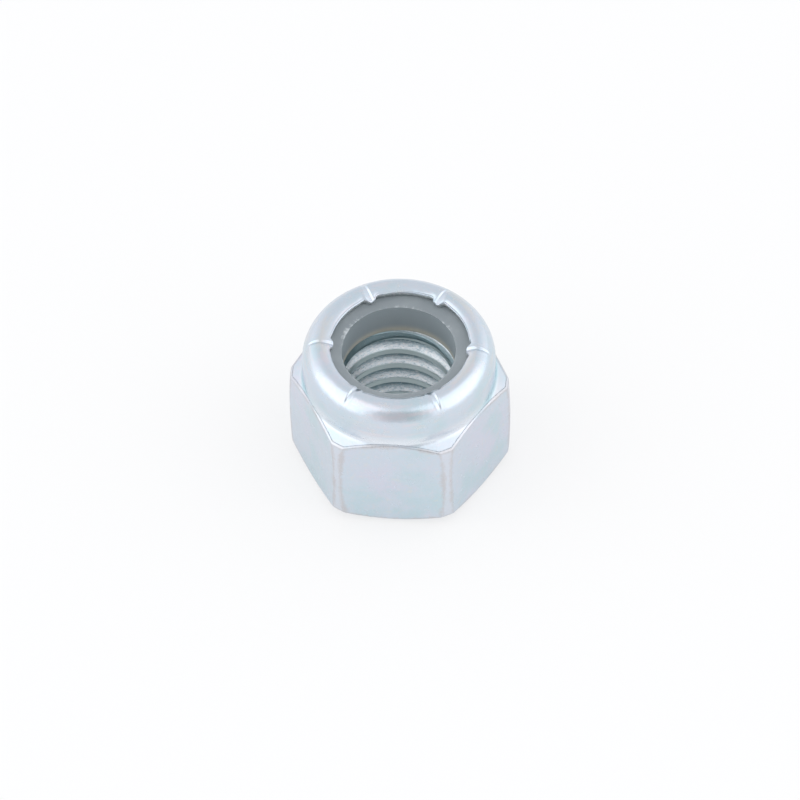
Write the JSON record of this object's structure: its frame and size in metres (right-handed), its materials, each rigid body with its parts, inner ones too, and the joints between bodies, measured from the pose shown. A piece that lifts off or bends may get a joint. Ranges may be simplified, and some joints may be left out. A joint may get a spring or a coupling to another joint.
{
  "type": "nylon insert lock nut",
  "caption": "Hexagonal steel lock nut with a round crimped collar that holds a nylon locking ring over its thread.",
  "frame": {"origin": "where the axis of the thread meets the bearing face", "axes": "+Z along the thread, from the bearing face to the lip; +X through a corner of the hexagon; +Y square to a flat"},
  "size_m": [0.016, 0.0142, 0.0116],
  "materials": {
    "zinc_plated_steel": "satin",
    "grey_nylon": "satin"
  },
  "bodies": {
    "root": {"nut_body": "zinc_plated_steel", "nylon_insert": "grey_nylon"}
  },
  "joints": []
}
